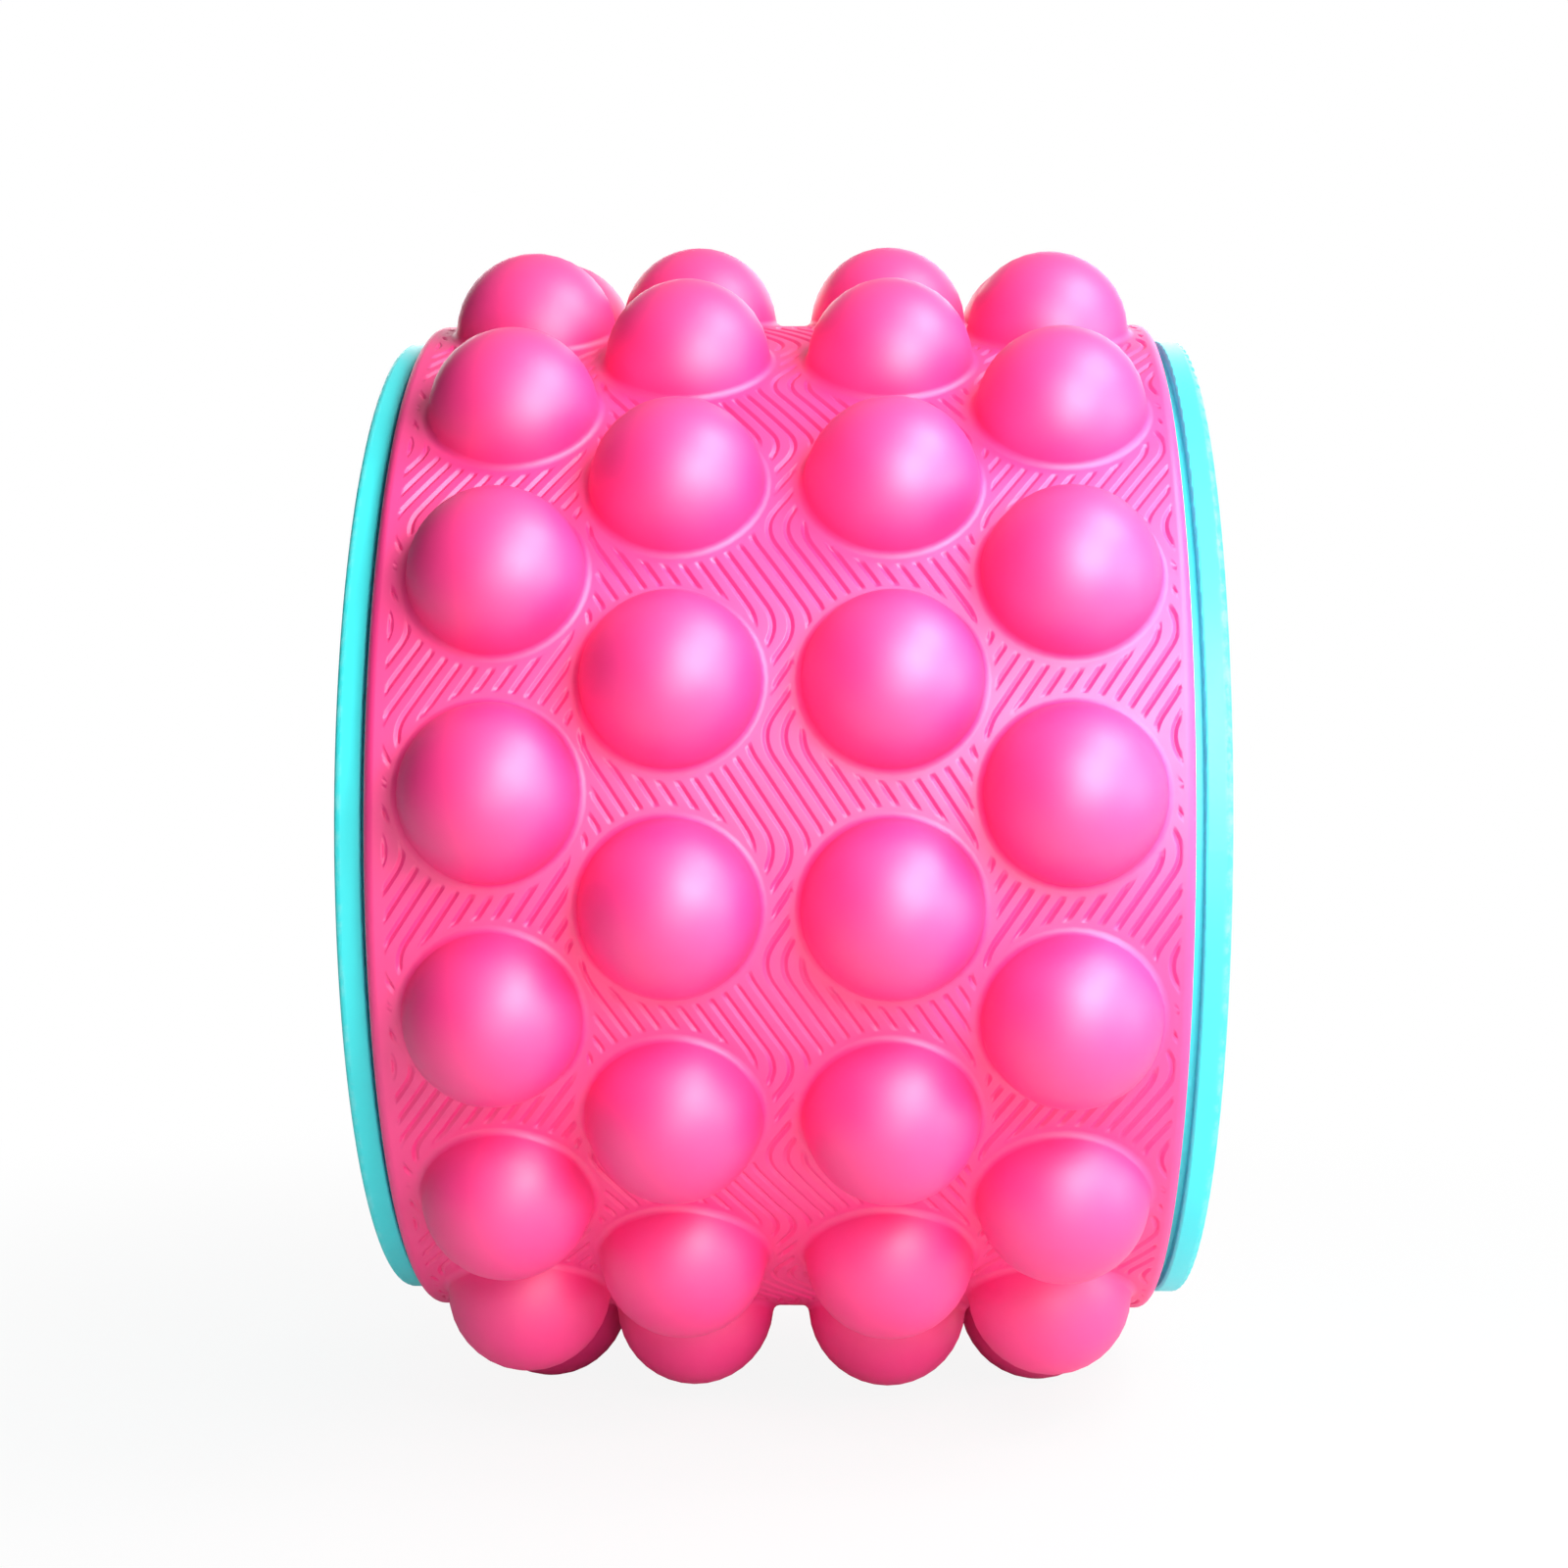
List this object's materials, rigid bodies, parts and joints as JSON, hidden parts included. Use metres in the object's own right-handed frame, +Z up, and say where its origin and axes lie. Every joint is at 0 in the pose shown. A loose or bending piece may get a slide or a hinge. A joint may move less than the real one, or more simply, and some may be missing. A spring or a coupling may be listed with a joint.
{
  "type": "yoga wheel",
  "caption": "Wide yoga wheel: a foam sleeve with staggered rows of massage domes on a rigid hollow-walled plastic ring with lipped rims; rolls under the back, open through the middle",
  "frame": {"origin": "centre of the wheel, on its axis and midway between its rims", "axes": "+Y along the wheel's axis toward the right rim, +Z up with the wheel standing on its domes, +X toward the viewer of the picture"},
  "size_m": [0.3186, 0.2132, 0.3186],
  "materials": {
    "pink_foam": "satin",
    "teal_plastic": "satin"
  },
  "bodies": {
    "root": {"massage_sleeve": "pink_foam", "core_drum": "teal_plastic", "inner_liner": "teal_plastic", "left_rim": "teal_plastic", "right_rim": "teal_plastic"}
  },
  "joints": []
}
